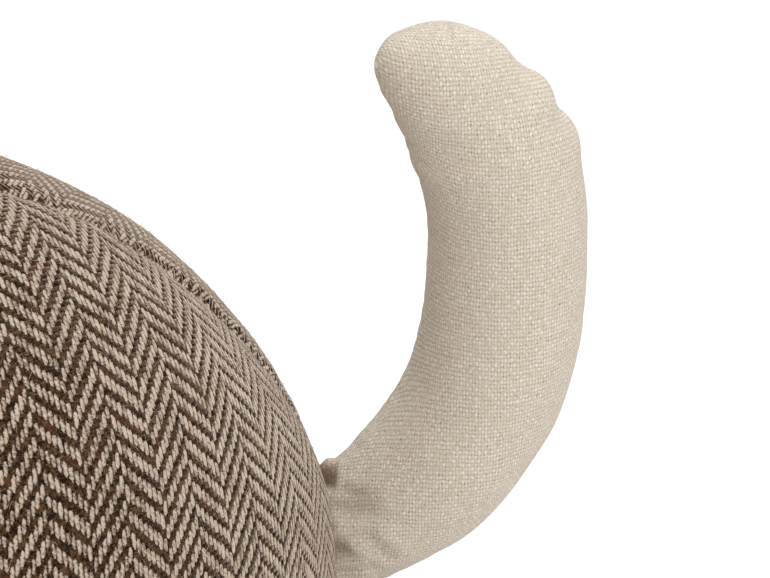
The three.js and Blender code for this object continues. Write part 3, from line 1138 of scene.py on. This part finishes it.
make_ear("linen_left_ear", "left_ear", -1)
make_ear("linen_right_ear", "right_ear", 1)

EYE_RADIUS = 4 * MM
EYE_PROUD = 2.4 * MM
EYE_SIDE_ANGLE = math.radians(24)
EYE_RAISE_ANGLE = math.radians(12)
NOSE_HALF_WIDTH = 5 * MM
NOSE_HALF_HEIGHT = 3.6 * MM
NOSE_PROUD = 2.2 * MM
NOSE_DROP_ANGLE = math.radians(6)
DOME_AROUND = 32
DOME_ROWS = 16
DOME_SUNK_SHARE = 0.6


def make_dome(name, node, side_angle, raise_angle, half_width, half_height, proud, finish):
    """A low dome on the face, closed at the back inside the head."""
    facing = np.array((-math.cos(raise_angle) * math.cos(side_angle),
                       math.cos(raise_angle) * math.sin(side_angle), math.sin(raise_angle)))
    seat = head_surface(facing[None])[0]
    across = np.cross((0, 0, 1), facing)
    across /= np.linalg.norm(across)
    up = np.cross(facing, across)
    points = [seat - facing * proud * DOME_SUNK_SHARE]
    for row in range(1, DOME_ROWS):
        lean = math.pi * row / DOME_ROWS
        rise = -math.cos(lean)
        if rise < 0:
            rise *= DOME_SUNK_SHARE
        for step in range(DOME_AROUND):
            turn = FULL_TURN * step / DOME_AROUND
            points.append(seat + facing * proud * rise
                          + across * math.sin(lean) * math.cos(turn) * half_width
                          + up * math.sin(lean) * math.sin(turn) * half_height)
    points.append(seat + facing * proud)
    dome = new_piece(name, points, closed_grid(DOME_AROUND, DOME_ROWS - 1), finish, node)
    refine(dome, 1)
    return dome


for name, node, side in (("bead_left_eye", "left_eye", -1), ("bead_right_eye", "right_eye", 1)):
    make_dome(name, node, side * EYE_SIDE_ANGLE, EYE_RAISE_ANGLE,
              EYE_RADIUS, EYE_RADIUS, EYE_PROUD, bead)
nose = make_dome("cloth_nose", "nose", 0.0, -NOSE_DROP_ANGLE,
                 NOSE_HALF_WIDTH, NOSE_HALF_HEIGHT, NOSE_PROUD, nose_cloth)


# Floor and light.

FLOOR_HALF_SIZE = 6.0
FLOOR_TONE = 0.8
FLOOR_SHADED_TONE = 0.4
FLOOR_GLOW = 0.68
WHITE = (1, 1, 1, 1)
WORLD_LEVEL = 0.595
WORLD_COLOUR = (1.0, 0.93, 0.89, 1)
LAMP_SIZE = 1.2
# Name, power, colour and place of each lamp.
LAMPS = [
    ("key lamp", 17.0, (0.94, 1.0, 1.05), Vector((0.1, 0.9, 1.75))),
    ("fill lamp", 12.0, (0.97, 1.0, 1.01), Vector((0.25, -1.5, 1.3))),
    ("side lamp", 5.5, (0.94, 1.0, 1.05), Vector((1.5, -0.6, 1.1))),
]


def even(tone):
    """A grey of the given tone."""
    return (tone, tone, tone, 1)


def as_seen(finish, lit, shown):
    """One shader for the light on the object, and another for what is looked at or mirrored."""
    camera_ray = finish.node("ShaderNodeLightPath", {}, {}, "Is Camera Ray")
    looked_at = larger(larger(camera_ray, camera_ray.output("Is Glossy Ray")),
                       camera_ray.output("Is Transmission Ray"))
    return finish.node("ShaderNodeMixShader", {}, {0: looked_at, 1: lit, 2: shown})


def floor_finish():
    """A pale floor that looks white, with the door stop's shadow on it."""
    floor = new_finish("pale floor")
    plain = floor.node("ShaderNodeBsdfDiffuse", {}, {"Color": even(FLOOR_TONE)})
    shaded = floor.node("ShaderNodeBsdfDiffuse", {}, {"Color": even(FLOOR_SHADED_TONE)})
    glow = floor.node("ShaderNodeEmission", {}, {"Color": WHITE, "Strength": FLOOR_GLOW})
    white = floor.node("ShaderNodeAddShader", {}, {0: shaded, 1: glow})
    floor.node("ShaderNodeOutputMaterial", {}, {"Surface": as_seen(floor, plain, white)})
    return floor.owner


def studio_world():
    studio = Finish(bpy.data.worlds.new("studio"))
    room = studio.node("ShaderNodeBackground", {},
                       {"Color": WORLD_COLOUR, "Strength": WORLD_LEVEL})
    behind = studio.node("ShaderNodeBackground", {}, {"Color": WHITE, "Strength": 1.0})
    studio.node("ShaderNodeOutputWorld", {}, {"Surface": as_seen(studio, room, behind)})
    return studio.owner


def add_soft_light(name, power, colour, place):
    """A square lamp that faces the door stop."""
    data = bpy.data.lights.new(name, "AREA")
    data.energy = power
    data.size = LAMP_SIZE
    data.color = colour
    aim(add_object(name, data), place, CAMERA_AIM - place)


floor_corners = [(x * FLOOR_HALF_SIZE, y * FLOOR_HALF_SIZE, 0)
                 for x, y in ((-1, -1), (1, -1), (1, 1), (-1, 1))]
floor = add_mesh("floor", floor_corners, [(0, 1, 2, 3)], floor_finish())
scene.world = studio_world()
for lamp in LAMPS:
    add_soft_light(*lamp)
